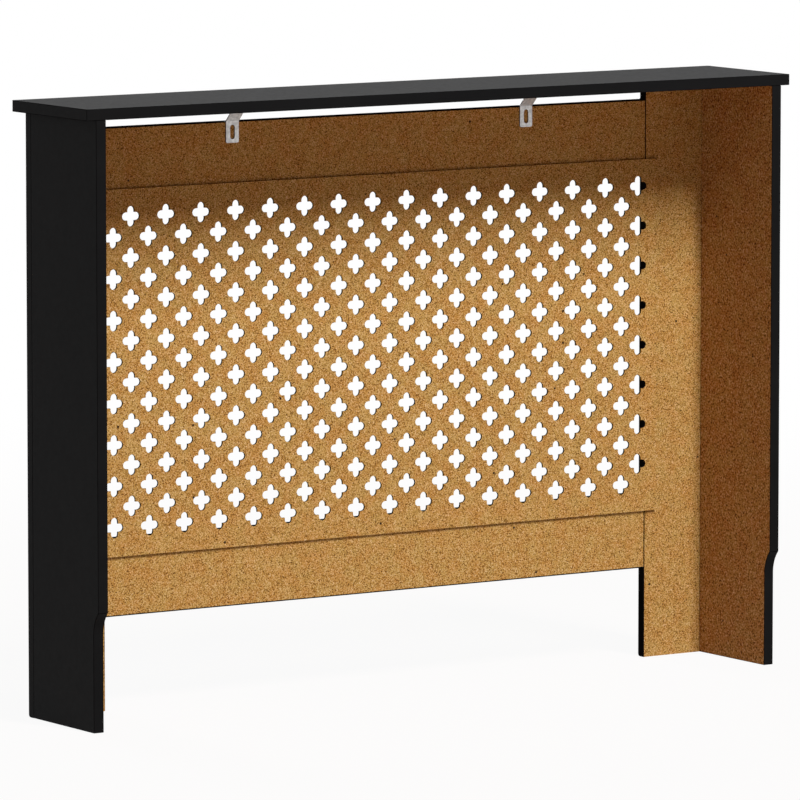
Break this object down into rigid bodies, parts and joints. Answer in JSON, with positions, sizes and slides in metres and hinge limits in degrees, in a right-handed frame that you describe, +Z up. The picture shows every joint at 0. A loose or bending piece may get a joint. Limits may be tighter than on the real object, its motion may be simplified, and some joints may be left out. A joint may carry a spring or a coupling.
{
  "type": "radiator cover cabinet",
  "caption": "Radiator cover cabinet: lattice front in a framed board, two side panels with skirting cut-outs, an overhanging top, an open back and bent steel brackets.",
  "frame": {"origin": "middle of the footprint, on the floor", "axes": "+Z is up, the lattice front faces -Y, the open back faces +Y towards the wall, and the width lies along X"},
  "size_m": [1.12, 0.19, 0.815],
  "materials": {
    "black_board": "satin black paint on fibreboard",
    "raw_board": "raw speckled fibreboard, painted black in front and on its edges",
    "zinc_steel": "zinc plated",
    "beech": "raw beech"
  },
  "bodies": {
    "root": {"top_panel": "black_board", "side_panel_left": "black_board", "side_panel_right": "black_board", "stile_left": "raw_board", "stile_right": "raw_board", "top_rail": "raw_board", "bottom_rail": "raw_board", "grille_panel": "raw_board", "bracket_left": "zinc_steel", "bracket_right": "zinc_steel", "bracket_screw_left": "zinc_steel", "bracket_screw_right": "zinc_steel", "dowel_top_rail_left_lower": "beech", "dowel_top_rail_left_upper": "beech", "dowel_bottom_rail_left_lower": "beech", "dowel_bottom_rail_left_upper": "beech", "dowel_stile_side_left_low": "beech", "dowel_stile_side_left_middle": "beech", "dowel_stile_side_left_high": "beech", "dowel_top_side_left_front": "beech", "dowel_top_side_left_back": "beech", "dowel_top_stile_left": "beech", "dowel_top_rail_right_lower": "beech", "dowel_top_rail_right_upper": "beech", "dowel_bottom_rail_right_lower": "beech", "dowel_bottom_rail_right_upper": "beech", "dowel_stile_side_right_low": "beech", "dowel_stile_side_right_middle": "beech", "dowel_stile_side_right_high": "beech", "dowel_top_side_right_front": "beech", "dowel_top_side_right_back": "beech", "dowel_top_stile_right": "beech"}
  },
  "joints": []
}
